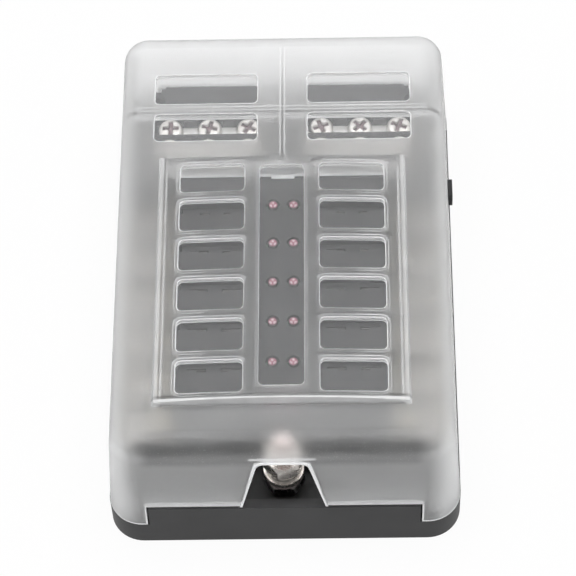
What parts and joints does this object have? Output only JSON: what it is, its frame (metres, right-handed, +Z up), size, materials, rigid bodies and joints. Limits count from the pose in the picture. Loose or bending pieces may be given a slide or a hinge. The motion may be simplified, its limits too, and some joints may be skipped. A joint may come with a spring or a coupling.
{
  "type": "blade fuse block",
  "caption": "Blade fuse block: black base with fuse pockets, screw terminals, stud and negative bus under a frosted lift-off cover with clear windows.",
  "frame": {"origin": "middle of the base's underside", "axes": "+X across the block to the right, +Y along it towards the negative bus, +Z up"},
  "size_m": [0.1003, 0.15, 0.0495],
  "materials": {
    "black_moulding": "fine-grained black thermoplastic",
    "frosted_cover": "frosted translucent plastic with clear panes",
    "tinned_brass": "stamped strip, lightly tinned",
    "nickel_plate": "bright nickel plate",
    "plain_steel": "plain steel",
    "board_green": "glass-fibre board with green lacquer",
    "lamp_red": "clear red lens, unlit"
  },
  "bodies": {
    "block": {"base_housing": "black_moulding", "bottom_plate": "black_moulding", "plate_screws": "plain_steel", "supply_bus": "tinned_brass", "supply_stud": "nickel_plate", "stud_lower_nut": "nickel_plate", "stud_lower_washer": "nickel_plate", "stud_flat_washer": "nickel_plate", "stud_spring_washer": "plain_steel", "stud_upper_nut": "nickel_plate", "output_terminal_left_1": "tinned_brass", "output_terminal_left_2": "tinned_brass", "output_terminal_left_3": "tinned_brass", "output_terminal_left_4": "tinned_brass", "output_terminal_left_5": "tinned_brass", "output_terminal_left_6": "tinned_brass", "output_terminal_right_1": "tinned_brass", "output_terminal_right_2": "tinned_brass", "output_terminal_right_3": "tinned_brass", "output_terminal_right_4": "tinned_brass", "output_terminal_right_5": "tinned_brass", "output_terminal_right_6": "tinned_brass", "output_screws_left": "nickel_plate", "output_screws_right": "nickel_plate", "negative_bus": "nickel_plate", "negative_screws_lower": "nickel_plate", "negative_screws_upper": "nickel_plate", "lamp_board": "board_green", "lamp_left_1": "lamp_red", "lamp_left_2": "lamp_red", "lamp_left_3": "lamp_red", "lamp_left_4": "lamp_red", "lamp_left_5": "lamp_red", "lamp_left_6": "lamp_red", "lamp_right_1": "lamp_red", "lamp_right_2": "lamp_red", "lamp_right_3": "lamp_red", "lamp_right_4": "lamp_red", "lamp_right_5": "lamp_red", "lamp_right_6": "lamp_red"},
    "cover": {"cover": "frosted_cover"}
  },
  "joints": [
    {"name": "cover_lift", "type": "slide", "parent": "block", "child": "cover", "axis": [0, 0, 1], "range_m": [0, 0.06]}
  ]
}
